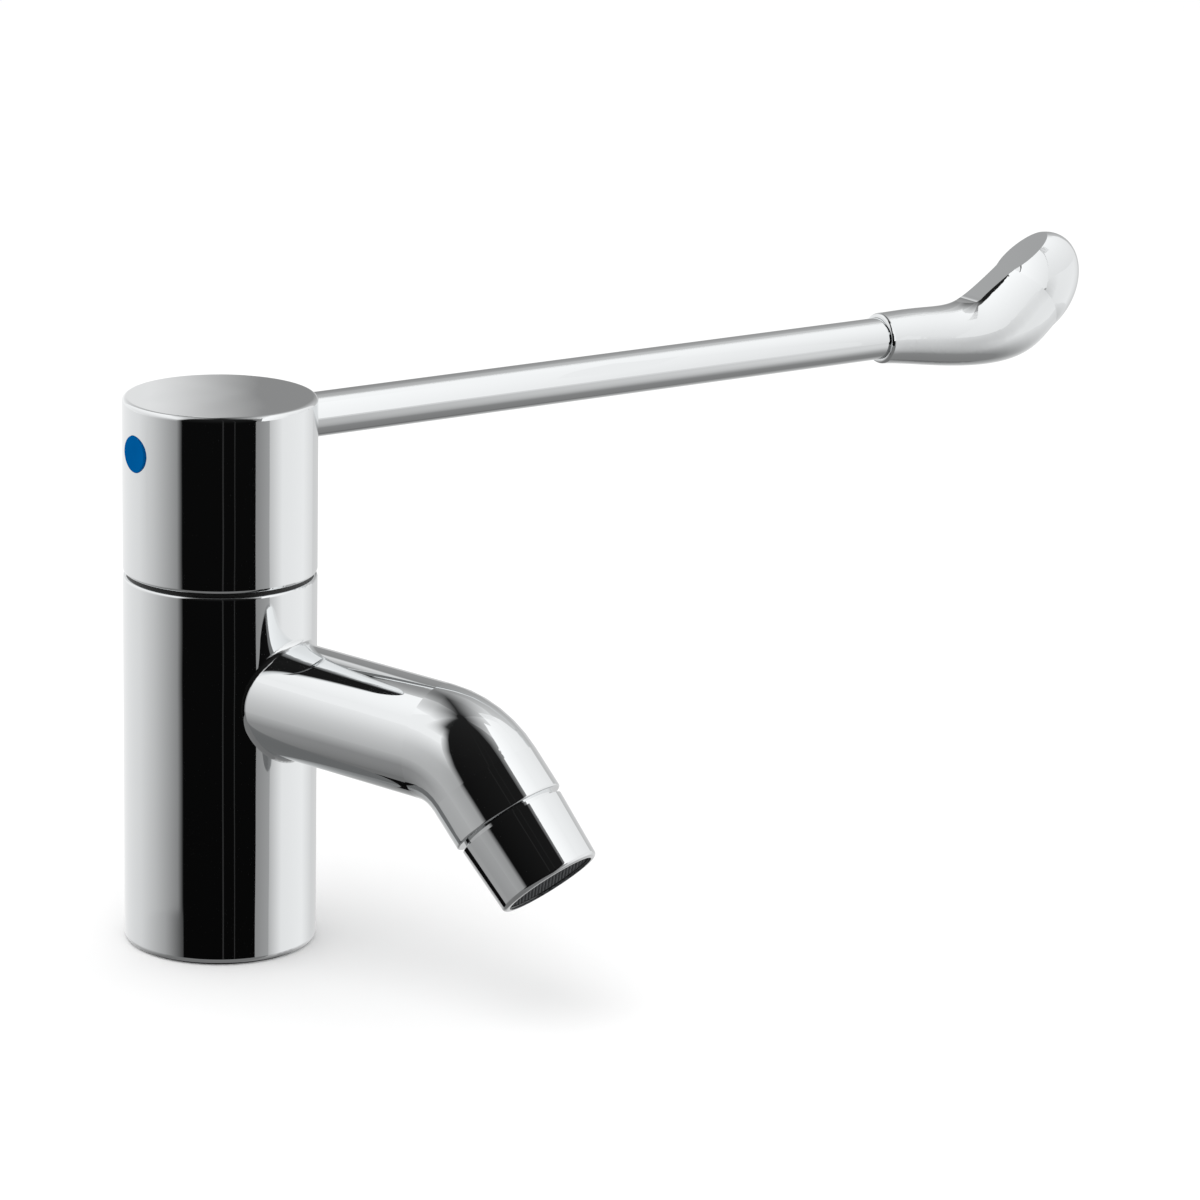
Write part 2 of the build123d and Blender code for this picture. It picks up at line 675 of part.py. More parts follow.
# Plastic insert with rings of small jets, and a rim that holds the mesh
cage_start = outlet_neck_length + aerator_seal_thickness
cage_end = shell_cavity_end - mesh_thickness
jet_radius = cage_radius - aerator_seal_width
mesh_radius = cage_radius - insert_rim_width
with BuildPart() as aerator_insert:
    outlet_ring(cage_start, cage_end, cage_radius)
    outlet_ring(cage_end, shell_cavity_end, cage_radius, mesh_radius)
    for row in range(insert_pin_rows):
        with BuildSketch(outlet_plane.offset(cage_start)):
            with PolarLocations(jet_radius * (row + 1) / (insert_pin_rows + 1),
                                insert_pin_count):
                Circle(insert_pin_bore / 2)
        extrude(amount=cage_end - cage_start, mode=Mode.SUBTRACT)
finish(aerator_insert, "aerator_insert")

# Stainless mesh, pressed into the insert's rim
with BuildPart() as aerator_mesh:
    with BuildSketch(outlet_plane.offset(cage_end)):
        Circle(mesh_radius)
        reach = (mesh_holes_across - 1) * mesh_pitch / 2
        places = [
            (column * mesh_pitch - reach, row * mesh_pitch - reach)
            for column in range(mesh_holes_across)
            for row in range(mesh_holes_across)
        ]
        inside = [(x, y) for x, y in places if (x * x + y * y) ** 0.5 < mesh_radius - mesh_pitch / 2]
        with Locations(*inside):
            Rectangle(mesh_hole, mesh_hole, mode=Mode.SUBTRACT)
    extrude(amount=mesh_thickness)
finish(aerator_mesh, "aerator_mesh")
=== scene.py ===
from math import cos, pi, radians, sin

import bpy
from mathutils import Matrix, Vector


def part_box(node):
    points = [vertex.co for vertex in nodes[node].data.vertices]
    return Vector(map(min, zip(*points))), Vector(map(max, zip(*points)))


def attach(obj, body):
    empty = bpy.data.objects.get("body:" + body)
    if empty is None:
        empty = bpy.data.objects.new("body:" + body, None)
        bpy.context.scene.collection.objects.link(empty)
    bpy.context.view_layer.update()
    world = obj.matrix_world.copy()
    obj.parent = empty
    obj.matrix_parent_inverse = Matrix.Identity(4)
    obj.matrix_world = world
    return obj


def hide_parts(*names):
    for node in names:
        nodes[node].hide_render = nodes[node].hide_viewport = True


# Elbow lever tap: a bent spout, a turning cap and a long lever with a paddle, all chromed.
# Metres, in the frame of the solid model: +Z up the tap's axis, the base at zero, spout to -Y.
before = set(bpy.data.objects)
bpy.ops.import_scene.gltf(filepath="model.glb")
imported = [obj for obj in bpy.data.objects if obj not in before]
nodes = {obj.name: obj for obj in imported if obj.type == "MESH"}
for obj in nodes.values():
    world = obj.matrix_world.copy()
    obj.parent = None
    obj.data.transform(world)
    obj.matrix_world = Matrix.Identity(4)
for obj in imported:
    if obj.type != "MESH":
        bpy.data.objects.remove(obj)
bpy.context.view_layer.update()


# Body and spout: one brass casting, turned, polished on mops and plated with nickel and chromium.
# The shell that holds the aerator, the cap, the lever's bar and its die-cast paddle get the same
# plate in the same bath.
def linear(colour):
    # An sRGB hex colour as linear red, green, blue and alpha
    parts = [int(colour[i:i + 2], 16) / 255 for i in (1, 3, 5)]
    return [p / 12.92 if p <= 0.04045 else ((p + 0.055) / 1.055) ** 2.4 for p in parts] + [1.0]


def add(tree, kind, inputs=None, **settings):
    # One node with its settings. Each input is a value, or the output that is linked to it.
    made = tree.nodes.new(kind)
    for name, value in settings.items():
        setattr(made, name, value)
    for name, value in (inputs or {}).items():
        if isinstance(value, bpy.types.NodeSocket):
            tree.links.new(value, made.inputs[name])
        else:
            made.inputs[name].default_value = value
    return made


def new_material(name):
    # An empty material, its node tree and the place on the piece that each point has
    made = bpy.data.materials.new(name)
    made.use_nodes = True
    made.node_tree.nodes.clear()
    place = add(made.node_tree, "ShaderNodeTexCoord").outputs["Object"]
    return made, made.node_tree, place


def dress(material, *names):
    # Gives pieces of the solid model their finish
    for name in names:
        for slot in nodes[name].material_slots:
            slot.material = material


MM = 0.001
CHROME = "#EBEDEE"
MOP_WAVE = 14 * MM
WIPE_MARK = 7 * MM

# Chrome plate on polished brass. The mops leave long shallow waves, which bend what it mirrors,
# and a dry cloth leaves marks in which the mirror is a little softer.
chrome, tree, place = new_material("chrome_plate_on_polished_brass")
waves = add(tree, "ShaderNodeTexNoise", {"Vector": place, "Scale": 1 / MOP_WAVE, "Detail": 0.0})
bump = add(tree, "ShaderNodeBump", {"Height": waves.outputs["Fac"], "Strength": 0.1,
                                    "Distance": 0.5 * MM})
marks = add(tree, "ShaderNodeTexNoise", {"Vector": place, "Scale": 1 / WIPE_MARK, "Detail": 5.0})
softness = add(tree, "ShaderNodeMapRange", {"Value": marks.outputs["Fac"], "From Min": 0.35,
                                            "From Max": 0.75, "To Min": 0.02, "To Max": 0.055})
shader = add(tree, "ShaderNodeBsdfPrincipled", {"Base Color": linear(CHROME), "Metallic": 1.0,
                                                "Roughness": softness.outputs["Result"],
                                                "Normal": bump.outputs["Normal"]})
add(tree, "ShaderNodeOutputMaterial", {"Surface": shader.outputs["BSDF"]})
dress(chrome, "tap_body", "handle_cap", "lever_rod", "lever_paddle", "aerator_shell")

# Headwork barrel, spindle, backnut: free-cutting brass, turned from bar and left as the tool
# leaves it. The feed gives fine rings round the axis, and the oil dries in patches.
BRASS = "#C9A75A"
BRASS_STAINED = "#A88440"
TOOL_FEED = 0.25 * MM
STAIN_SIZE = 4 * MM
WAVE_PERIODS = 20 / (2 * pi)      # waves in a metre, where a wave texture has scale 1

brass, tree, place = new_material("free_cutting_brass_turned")
rings = add(tree, "ShaderNodeTexWave", {"Vector": place, "Scale": 1 / (TOOL_FEED * WAVE_PERIODS),
                                        "Distortion": 0.4, "Detail": 1.0},
            wave_type="BANDS", bands_direction="Z")
bump = add(tree, "ShaderNodeBump", {"Height": rings.outputs["Fac"], "Strength": 0.25,
                                    "Distance": 0.02 * MM})
stains = add(tree, "ShaderNodeTexNoise", {"Vector": place, "Scale": 1 / STAIN_SIZE, "Detail": 4.0})
tint = add(tree, "ShaderNodeValToRGB", {"Fac": stains.outputs["Fac"]})
tint.color_ramp.elements[0].position = 0.35
tint.color_ramp.elements[0].color = linear(BRASS_STAINED)
tint.color_ramp.elements[1].position = 0.6
tint.color_ramp.elements[1].color = linear(BRASS)
softness = add(tree, "ShaderNodeMapRange", {"Value": stains.outputs["Fac"], "To Min": 0.38,
                                            "To Max": 0.2})
shader = add(tree, "ShaderNodeBsdfPrincipled", {"Base Color": tint.outputs["Color"],
                                                "Metallic": 1.0,
                                                "Roughness": softness.outputs["Result"],
                                                "Normal": bump.outputs["Normal"]})
add(tree, "ShaderNodeOutputMaterial", {"Surface": shader.outputs["BSDF"]})
dress(brass, "headwork_body", "spindle", "backnut")


# Inlet shank: brass tube with a half-inch pipe thread rolled over its whole length, screwed into
# the body. A turned relief parts the thread for the backnut from the tail for the supply pipe.
SHARP_ANGLE = radians(35)


def stand(name, data):
    # A new object in the scene, made of a mesh, a lamp or a camera
    made = bpy.data.objects.new(name, data)
    bpy.context.collection.objects.link(made)
    return made


def grown_piece(name, tree, sizes):
    # Runs a geometry tree once with these sizes and keeps what it makes as a plain mesh
    piece = stand(name, bpy.data.meshes.new(name))
    modifier = piece.modifiers.new(name, "NODES")
    modifier.node_group = tree
    for socket in tree.interface.items_tree:
        if socket.name in sizes:
            modifier[socket.identifier] = sizes[socket.name]
    grown = piece.evaluated_get(bpy.context.evaluated_depsgraph_get())
    mesh = bpy.data.meshes.new_from_object(grown)
    piece.modifiers.clear()
    piece.data = mesh
    mesh.set_sharp_from_angle(angle=SHARP_ANGLE)
    return piece


def new_growth(name, size_names):
    # An empty geometry tree with a number for each named size, and its way in and out
    tree = bpy.data.node_groups.new(name, "GeometryNodeTree")
    for size_name in size_names:
        tree.interface.new_socket(size_name, in_out="INPUT", socket_type="NodeSocketFloat")
    tree.interface.new_socket("Mesh", in_out="OUTPUT", socket_type="NodeSocketGeometry")
    return tree, add(tree, "NodeGroupInput").outputs


SHANK = {"Crest Radius": 10.48 * MM, "Root Radius": 9.32 * MM, "Pitch": 1.814 * MM,
         "Bottom": -52 * MM, "Top": 14 * MM, "Chamfer": 1 * MM, "Bore Radius": 6.98 * MM,
         "Relief Middle": -30 * MM, "Relief Half": 1 * MM, "Relief Radius": 9.28 * MM}
SHANK_COLUMNS = 64
SHANK_ROWS = 330
CREST_FLAT = 0.12             # share of a flank that a crest or a root cuts off
WELD_DISTANCE = 0.002 * MM

tree, size = new_growth("rolled_pipe_thread", SHANK)
sheet = add(tree, "GeometryNodeMeshGrid", {"Size X": 1.0, "Size Y": 1.0,
                                           "Vertices X": SHANK_COLUMNS + 1,
                                           "Vertices Y": SHANK_ROWS})
spot = add(tree, "ShaderNodeSeparateXYZ", {0: add(tree, "GeometryNodeInputPosition").outputs[0]})
turn = add(tree, "ShaderNodeMath", {0: spot.outputs["X"], 1: 0.5}, operation="ADD")
angle = add(tree, "ShaderNodeMath", {0: turn.outputs[0], 1: 2 * pi}, operation="MULTIPLY")
# The first and the last row close the ends: they lie at the same height as their neighbours
row_step = 1 / (SHANK_ROWS - 1)
height = add(tree, "ShaderNodeMapRange", {"Value": spot.outputs["Y"], "From Min": row_step - 0.5,
                                          "From Max": 0.5 - row_step, "To Min": size["Bottom"],
                                          "To Max": size["Top"]})
climb = add(tree, "ShaderNodeMath", {0: height.outputs[0], 1: size["Pitch"]}, operation="DIVIDE")
lag = add(tree, "ShaderNodeMath", {0: climb.outputs[0], 1: turn.outputs[0]}, operation="SUBTRACT")
# A pitch is two lengths of the ping-pong wave, whose crests and roots are cut a little flat
doubled = add(tree, "ShaderNodeMath", {0: lag.outputs[0], 1: 2.0}, operation="MULTIPLY")
phase = add(tree, "ShaderNodeMath", {0: doubled.outputs[0], 1: 1.0}, operation="PINGPONG")
flank = add(tree, "ShaderNodeMapRange", {"Value": phase.outputs[0], "From Min": CREST_FLAT,
                                         "From Max": 1 - CREST_FLAT,
                                         "To Min": size["Root Radius"],
                                         "To Max": size["Crest Radius"]})
# Chamfers at both ends
above = add(tree, "ShaderNodeMath", {0: height.outputs[0], 1: size["Bottom"]},
            operation="SUBTRACT")
below = add(tree, "ShaderNodeMath", {0: size["Top"], 1: height.outputs[0]}, operation="SUBTRACT")
inset = add(tree, "ShaderNodeMath", {0: above.outputs[0], 1: below.outputs[0]},
            operation="MINIMUM")
end_radius = add(tree, "ShaderNodeMath", {0: size["Crest Radius"], 1: size["Chamfer"]},
                 operation="SUBTRACT")
cone = add(tree, "ShaderNodeMath", {0: end_radius.outputs[0], 1: inset.outputs[0]},
           operation="ADD")
threaded = add(tree, "ShaderNodeMath", {0: flank.outputs[0], 1: cone.outputs[0]},
               operation="MINIMUM")
in_relief = add(tree, "ShaderNodeMath", {0: height.outputs[0], 1: size["Relief Middle"],
                                         2: size["Relief Half"]}, operation="COMPARE")
relieved = add(tree, "GeometryNodeSwitch", {"Switch": in_relief.outputs[0],
                                            "False": threaded.outputs[0],
                                            "True": size["Relief Radius"]}, input_type="FLOAT")
on_side = add(tree, "ShaderNodeMath", {0: spot.outputs["Y"], 1: 0.0, 2: 0.5 - row_step / 2},
              operation="COMPARE")
radius = add(tree, "GeometryNodeSwitch", {"Switch": on_side.outputs[0],
                                          "False": size["Bore Radius"],
                                          "True": relieved.outputs[0]}, input_type="FLOAT")
outline = add(tree, "ShaderNodeCombineXYZ", {"X": radius.outputs[0], "Z": height.outputs[0]})
wrapped = add(tree, "ShaderNodeVectorRotate", {"Vector": outline.outputs[0],
                                               "Angle": angle.outputs[0]},
              rotation_type="Z_AXIS")
outside = add(tree, "GeometryNodeSetPosition", {"Geometry": sheet.outputs["Mesh"],
                                                "Position": wrapped.outputs[0]})
# The bore is a second tube, with its faces turned inwards
bore_sheet = add(tree, "GeometryNodeMeshGrid", {"Size X": 1.0, "Size Y": 1.0,
                                                "Vertices X": SHANK_COLUMNS + 1,
                                                "Vertices Y": 2})
bore_height = add(tree, "ShaderNodeMapRange", {"Value": spot.outputs["Y"], "From Min": -0.5,
                                               "From Max": 0.5, "To Min": size["Bottom"],
                                               "To Max": size["Top"]})
bore_line = add(tree, "ShaderNodeCombineXYZ", {"X": size["Bore Radius"],
                                               "Z": bore_height.outputs[0]})
bore_wrapped = add(tree, "ShaderNodeVectorRotate", {"Vector": bore_line.outputs[0],
                                                    "Angle": angle.outputs[0]},
                   rotation_type="Z_AXIS")
bore = add(tree, "GeometryNodeSetPosition", {"Geometry": bore_sheet.outputs["Mesh"],
                                             "Position": bore_wrapped.outputs[0]})
inside = add(tree, "GeometryNodeFlipFaces", {"Mesh": bore.outputs[0]})
both = add(tree, "GeometryNodeJoinGeometry")
tree.links.new(outside.outputs[0], both.inputs[0])
tree.links.new(inside.outputs[0], both.inputs[0])
closed = add(tree, "GeometryNodeMergeByDistance", {"Geometry": both.outputs[0],
                                                   "Distance": WELD_DISTANCE})
smooth = add(tree, "GeometryNodeSetShadeSmooth", {"Geometry": closed.outputs[0]})
real = add(tree, "GeometryNodeRealizeInstances", {"Geometry": smooth.outputs[0]})
clad = add(tree, "GeometryNodeSetMaterial", {"Geometry": real.outputs[0], "Material": brass})
add(tree, "NodeGroupOutput", {0: clad.outputs[0]})
shank = grown_piece("threaded_shank", tree, SHANK)
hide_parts("inlet_shank")
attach(shank, "tap")

# Ceramic discs: alumina, pressed, fired and lapped so flat that the faces seal against each
# other. White with a faint grain and a silky gloss.
ALUMINA = "#ECE9E2"
ALUMINA_SHADE = "#DCD8CF"
GRAIN = 0.4 * MM

ceramic, tree, place = new_material("alumina_lapped")
grain = add(tree, "ShaderNodeTexNoise", {"Vector": place, "Scale": 1 / GRAIN, "Detail": 3.0})
tint = add(tree, "ShaderNodeValToRGB", {"Fac": grain.outputs["Fac"]})
tint.color_ramp.elements[0].color = linear(ALUMINA_SHADE)
tint.color_ramp.elements[1].color = linear(ALUMINA)
shader = add(tree, "ShaderNodeBsdfPrincipled", {"Base Color": tint.outputs["Color"], "IOR": 1.76,
                                                "Roughness": 0.3})
add(tree, "ShaderNodeOutputMaterial", {"Surface": shader.outputs["BSDF"]})
dress(ceramic, "fixed_disc", "turning_disc")

# Seals, gasket and washer below the deck: black EPDM rubber, pressed in a mould. Matt, with a
# dusting of talc that greys it in patches.
RUBBER = "#1B1B1C"
RUBBER_DUSTED = "#2E2E2F"
DUST_SIZE = 3 * MM

rubber, tree, place = new_material("epdm_rubber_moulded")
dust = add(tree, "ShaderNodeTexNoise", {"Vector": place, "Scale": 1 / DUST_SIZE, "Detail": 6.0})
tint = add(tree, "ShaderNodeValToRGB", {"Fac": dust.outputs["Fac"]})
tint.color_ramp.elements[0].position = 0.4
tint.color_ramp.elements[0].color = linear(RUBBER)
tint.color_ramp.elements[1].position = 0.75
tint.color_ramp.elements[1].color = linear(RUBBER_DUSTED)
softness = add(tree, "ShaderNodeMapRange", {"Value": dust.outputs["Fac"], "To Min": 0.6,
                                            "To Max": 0.85})
shader = add(tree, "ShaderNodeBsdfPrincipled", {"Base Color": tint.outputs["Color"], "IOR": 1.52,
                                                "Roughness": softness.outputs["Result"]})
add(tree, "ShaderNodeOutputMaterial", {"Surface": shader.outputs["BSDF"]})
dress(rubber, "base_gasket", "rubber_washer", "lip_seal", "spindle_o_rings", "aerator_seal")

# Washer under the headwork's hexagon: red vulcanised fibre, stamped from sheet. Its pressed
# cotton shows as a fine felted mottle.
FIBRE = "#8C3A28"
FIBRE_PALE = "#A65340"
FELT = 0.6 * MM

fibre, tree, place = new_material("vulcanised_fibre_stamped")
felt = add(tree, "ShaderNodeTexNoise", {"Vector": place, "Scale": 1 / FELT, "Detail": 6.0})
tint = add(tree, "ShaderNodeValToRGB", {"Fac": felt.outputs["Fac"]})
tint.color_ramp.elements[0].position = 0.35
tint.color_ramp.elements[0].color = linear(FIBRE)
tint.color_ramp.elements[1].position = 0.65
tint.color_ramp.elements[1].color = linear(FIBRE_PALE)
bump = add(tree, "ShaderNodeBump", {"Height": felt.outputs["Fac"], "Strength": 0.3,
                                    "Distance": 0.03 * MM})
shader = add(tree, "ShaderNodeBsdfPrincipled", {"Base Color": tint.outputs["Color"],
                                                "Roughness": 0.7,
                                                "Normal": bump.outputs["Normal"]})
add(tree, "ShaderNodeOutputMaterial", {"Surface": shader.outputs["BSDF"]})
dress(fibre, "fibre_washer")

# Spindle clip, grub screw and the washer below the deck: stainless steel, stamped from strip or
# turned. Tumbling leaves it evenly satin with fine random marks.
STAINLESS = "#C3C5C7"
TUMBLE_MARK = 0.5 * MM

steel, tree, place = new_material("stainless_steel_tumbled")
scuffs = add(tree, "ShaderNodeTexNoise", {"Vector": place, "Scale": 1 / TUMBLE_MARK,
                                          "Detail": 4.0})
softness = add(tree, "ShaderNodeMapRange", {"Value": scuffs.outputs["Fac"], "From Min": 0.3,
                                            "From Max": 0.7, "To Min": 0.28, "To Max": 0.45})
bump = add(tree, "ShaderNodeBump", {"Height": scuffs.outputs["Fac"], "Strength": 0.15,
                                    "Distance": 0.02 * MM})
shader = add(tree, "ShaderNodeBsdfPrincipled", {"Base Color": linear(STAINLESS), "Metallic": 1.0,
                                                "Roughness": softness.outputs["Result"],
                                                "Normal": bump.outputs["Normal"]})
add(tree, "ShaderNodeOutputMaterial", {"Surface": shader.outputs["BSDF"]})
dress(steel, "clamp_washer", "spindle_clip", "grub_screw")

# Slide washer and spline insert: natural acetal, injection moulded. Milky white, a little
# translucent, with the soft sheen of a fine mould.
NATURAL_ACETAL = "#E4E3DC"
FLOW_MARK = 5 * MM

acetal, tree, place = new_material("natural_acetal_moulded")
flow = add(tree, "ShaderNodeTexNoise", {"Vector": place, "Scale": 1 / FLOW_MARK, "Detail": 2.0})
softness = add(tree, "ShaderNodeMapRange", {"Value": flow.outputs["Fac"], "To Min": 0.3,
                                            "To Max": 0.5})
shader = add(tree, "ShaderNodeBsdfPrincipled", {"Base Color": linear(NATURAL_ACETAL),
                                                "IOR": 1.48, "Subsurface Weight": 0.15,
                                                "Subsurface Scale": 1 * MM,
                                                "Roughness": softness.outputs["Result"]})
add(tree, "ShaderNodeOutputMaterial", {"Surface": shader.outputs["BSDF"]})
dress(acetal, "slide_washer", "spline_insert")

# Glide ring and the aerator's insert: black acetal, moulded. The ring is set back in the seam so
# that the cap turns on it, and the insert's rim holds the mesh. Both show as a dark line. The
# insert's black is partly painted shade: it stands for the shade that falls in the outlet's
# recess.
BLACK_ACETAL_AND_RECESS_SHADE = "#101011"
black_acetal_and_recess_shade, tree, place = new_material("black_acetal_moulded_and_recess_shade")
flow = add(tree, "ShaderNodeTexNoise", {"Vector": place, "Scale": 1 / FLOW_MARK, "Detail": 2.0})
softness = add(tree, "ShaderNodeMapRange", {"Value": flow.outputs["Fac"], "To Min": 0.35,
                                            "To Max": 0.5})
shader = add(tree, "ShaderNodeBsdfPrincipled", {"Base Color": linear(BLACK_ACETAL_AND_RECESS_SHADE), "IOR": 1.48,
                                                "Roughness": softness.outputs["Result"]})
add(tree, "ShaderNodeOutputMaterial", {"Surface": shader.outputs["BSDF"]})
dress(black_acetal_and_recess_shade, "glide_ring", "aerator_insert")

# Index plug: blue ABS, injection moulded and pressed into the cap over the grub screw. An even,
# matt blue, which shows cold water.
BLUE_ABS = "#005594"
BLUE_ABS_DEEP = "#004C86"
blue, tree, place = new_material("blue_abs_moulded")
flow = add(tree, "ShaderNodeTexNoise", {"Vector": place, "Scale": 1 / FLOW_MARK, "Detail": 2.0})
tint = add(tree, "ShaderNodeValToRGB", {"Fac": flow.outputs["Fac"]})
tint.color_ramp.elements[0].color = linear(BLUE_ABS_DEEP)
tint.color_ramp.elements[1].color = linear(BLUE_ABS)
softness = add(tree, "ShaderNodeMapRange", {"Value": flow.outputs["Fac"], "To Min": 0.2,
                                            "To Max": 0.34})
shader = add(tree, "ShaderNodeBsdfPrincipled", {"Base Color": tint.outputs["Color"], "IOR": 1.54,
                                                "Specular IOR Level": 0.0,
                                                "Roughness": softness.outputs["Result"]})
add(tree, "ShaderNodeOutputMaterial", {"Surface": shader.outputs["BSDF"]})
dress(blue, "index_plug")

# Aerator mesh: a round of plain-woven stainless wire, pressed into the insert's rim. Each wire
# passes over and under the ones it crosses. The weave is drawn a little coarse, so that it shows.
# The wire's grey is darker than stainless steel's own: the difference is painted shade, for the
# recess in the outlet where the mesh sits.
WIRE_GREY_WITH_RECESS_SHADE = "#646668"
DRAW_MARK = 0.3 * MM
MESH = {"Disc Radius": 9.75 * MM, "Spacing": 0.6 * MM, "Wire Radius": 0.13 * MM}
WIRE_SIDES = 5
STEPS_PER_CROSSING = 3
OUTLET_SLOPE = radians(48)

wire_steel_in_recess_shade, tree, place = new_material("stainless_wire_drawn_in_recess_shade")
draw_marks = add(tree, "ShaderNodeTexNoise", {"Vector": place, "Scale": 1 / DRAW_MARK,
                                              "Detail": 3.0})
softness = add(tree, "ShaderNodeMapRange", {"Value": draw_marks.outputs["Fac"], "To Min": 0.5,
                                            "To Max": 0.7})
shader = add(tree, "ShaderNodeBsdfPrincipled", {"Base Color": linear(WIRE_GREY_WITH_RECESS_SHADE), "Metallic": 1.0,
                                                "Roughness": softness.outputs["Result"]})
add(tree, "ShaderNodeOutputMaterial", {"Surface": shader.outputs["BSDF"]})

tree, size = new_growth("woven_wire", MESH)
# One set of parallel wires is laid on a line of points across the disc
across = add(tree, "ShaderNodeMath", {0: size["Disc Radius"], 1: size["Spacing"]},
             operation="DIVIDE")
half_count = add(tree, "ShaderNodeMath", {0: across.outputs[0]}, operation="FLOOR")
count = add(tree, "ShaderNodeMath", {0: half_count.outputs[0], 1: 2.0, 2: 1.0},
            operation="MULTIPLY_ADD")
first = add(tree, "ShaderNodeMath", {0: half_count.outputs[0], 1: size["Spacing"]},
            operation="MULTIPLY")
first_low = add(tree, "ShaderNodeMath", {0: first.outputs[0], 1: -1.0}, operation="MULTIPLY")
start = add(tree, "ShaderNodeCombineXYZ", {"Y": first_low.outputs[0]})
step = add(tree, "ShaderNodeCombineXYZ", {"Y": size["Spacing"]})
line = add(tree, "GeometryNodeMeshLine", {"Count": count.outputs[0],
                                          "Start Location": start.outputs[0],
                                          "Offset": step.outputs[0]})
left_end = add(tree, "ShaderNodeCombineXYZ", {"X": first_low.outputs[0]})
right_end = add(tree, "ShaderNodeCombineXYZ", {"X": first.outputs[0]})
straight = add(tree, "GeometryNodeCurvePrimitiveLine", {"Start": left_end.outputs[0],
                                                        "End": right_end.outputs[0]})
steps = add(tree, "ShaderNodeMath", {0: half_count.outputs[0], 1: 2.0 * STEPS_PER_CROSSING,
                                     2: 1.0}, operation="MULTIPLY_ADD")
stepped = add(tree, "GeometryNodeResampleCurve", {"Curve": straight.outputs[0],
                                                  "Count": steps.outputs[0]})
laid = add(tree, "GeometryNodeInstanceOnPoints", {"Points": line.outputs[0],
                                                  "Instance": stepped.outputs[0]})
warp = add(tree, "GeometryNodeRealizeInstances", {"Geometry": laid.outputs[0]})
weft = add(tree, "GeometryNodeTransform", {"Geometry": warp.outputs[0],
                                           "Rotation": (0, 0, pi / 2)})
# Height of a wire: a cosine of x + y that swaps at each crossing
spot = add(tree, "ShaderNodeSeparateXYZ", {0: add(tree, "GeometryNodeInputPosition").outputs[0]})
total = add(tree, "ShaderNodeMath", {0: spot.outputs["X"], 1: spot.outputs["Y"]}, operation="ADD")
crossings = add(tree, "ShaderNodeMath", {0: total.outputs[0], 1: size["Spacing"]},
                operation="DIVIDE")
swing = add(tree, "ShaderNodeMath", {0: crossings.outputs[0], 1: pi}, operation="MULTIPLY")
wave = add(tree, "ShaderNodeMath", {0: swing.outputs[0]}, operation="COSINE")
lift = add(tree, "ShaderNodeMath", {0: wave.outputs[0], 1: size["Wire Radius"]},
           operation="MULTIPLY")
drop = add(tree, "ShaderNodeMath", {0: lift.outputs[0], 1: -1.0}, operation="MULTIPLY")
up = add(tree, "ShaderNodeCombineXYZ", {"Z": lift.outputs[0]})
down = add(tree, "ShaderNodeCombineXYZ", {"Z": drop.outputs[0]})
raised = add(tree, "GeometryNodeSetPosition", {"Geometry": warp.outputs[0],
                                               "Offset": up.outputs[0]})
lowered = add(tree, "GeometryNodeSetPosition", {"Geometry": weft.outputs[0],
                                                "Offset": down.outputs[0]})
woven = add(tree, "GeometryNodeJoinGeometry")
tree.links.new(raised.outputs[0], woven.inputs[0])
tree.links.new(lowered.outputs[0], woven.inputs[0])
flat_spot = add(tree, "ShaderNodeCombineXYZ", {"X": spot.outputs["X"], "Y": spot.outputs["Y"]})
reach = add(tree, "ShaderNodeVectorMath", {0: flat_spot.outputs[0]}, operation="LENGTH")
beyond = add(tree, "ShaderNodeMath", {0: reach.outputs["Value"], 1: size["Disc Radius"]},
             operation="GREATER_THAN")
cut = add(tree, "GeometryNodeDeleteGeometry", {"Geometry": woven.outputs[0],
                                               "Selection": beyond.outputs[0]})
section = add(tree, "GeometryNodeCurvePrimitiveCircle", {"Resolution": WIRE_SIDES,
                                                         "Radius": size["Wire Radius"]})
wires = add(tree, "GeometryNodeCurveToMesh", {"Curve": cut.outputs[0],
                                              "Profile Curve": section.outputs[0],
                                              "Fill Caps": True})
smooth = add(tree, "GeometryNodeSetShadeSmooth", {"Geometry": wires.outputs[0]})
real = add(tree, "GeometryNodeRealizeInstances", {"Geometry": smooth.outputs[0]})
clad = add(tree, "GeometryNodeSetMaterial", {"Geometry": real.outputs[0],
                                             "Material": wire_steel_in_recess_shade})
add(tree, "NodeGroupOutput", {0: clad.outputs[0]})
mesh_piece = grown_piece("woven_aerator_mesh", tree, MESH)
lowest, highest = (Vector(corner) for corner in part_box("aerator_mesh"))
mesh_piece.data.transform(Matrix.Translation((lowest + highest) / 2)
                          @ Matrix.Rotation(-(pi / 2 - OUTLET_SLOPE), 4, "X"))
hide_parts("aerator_mesh")
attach(mesh_piece, "tap")

# Floor: a board painted matt white, with the soft shadow of one lamp above it. The metal mirrors
# the dark bench below it in its place.
FLOOR_WHITE = "#FBFBFB"
FLOOR_REACH = 4.0
ROLLER_MARK = 30 * MM

floor_mesh = bpy.data.meshes.new("floor")
corners = [(x * FLOOR_REACH, y * FLOOR_REACH, 0) for x, y in ((-1, -1), (1, -1), (1, 1), (-1, 1))]
floor_mesh.from_pydata(corners, [], [(0, 1, 2, 3)])
floor = stand("floor", floor_mesh)
paint, tree, place = new_material("matt_white_paint")
roller = add(tree, "ShaderNodeTexNoise", {"Vector": place, "Scale": 1 / ROLLER_MARK})
softness = add(tree, "ShaderNodeMapRange", {"Value": roller.outputs["Fac"], "To Min": 0.8,
                                            "To Max": 0.95})
shader = add(tree, "ShaderNodeBsdfPrincipled", {"Base Color": linear(FLOOR_WHITE),
                                                "Specular IOR Level": 0.0,
                                                "Roughness": softness.outputs["Result"]})
add(tree, "ShaderNodeOutputMaterial", {"Surface": shader.outputs["BSDF"]})
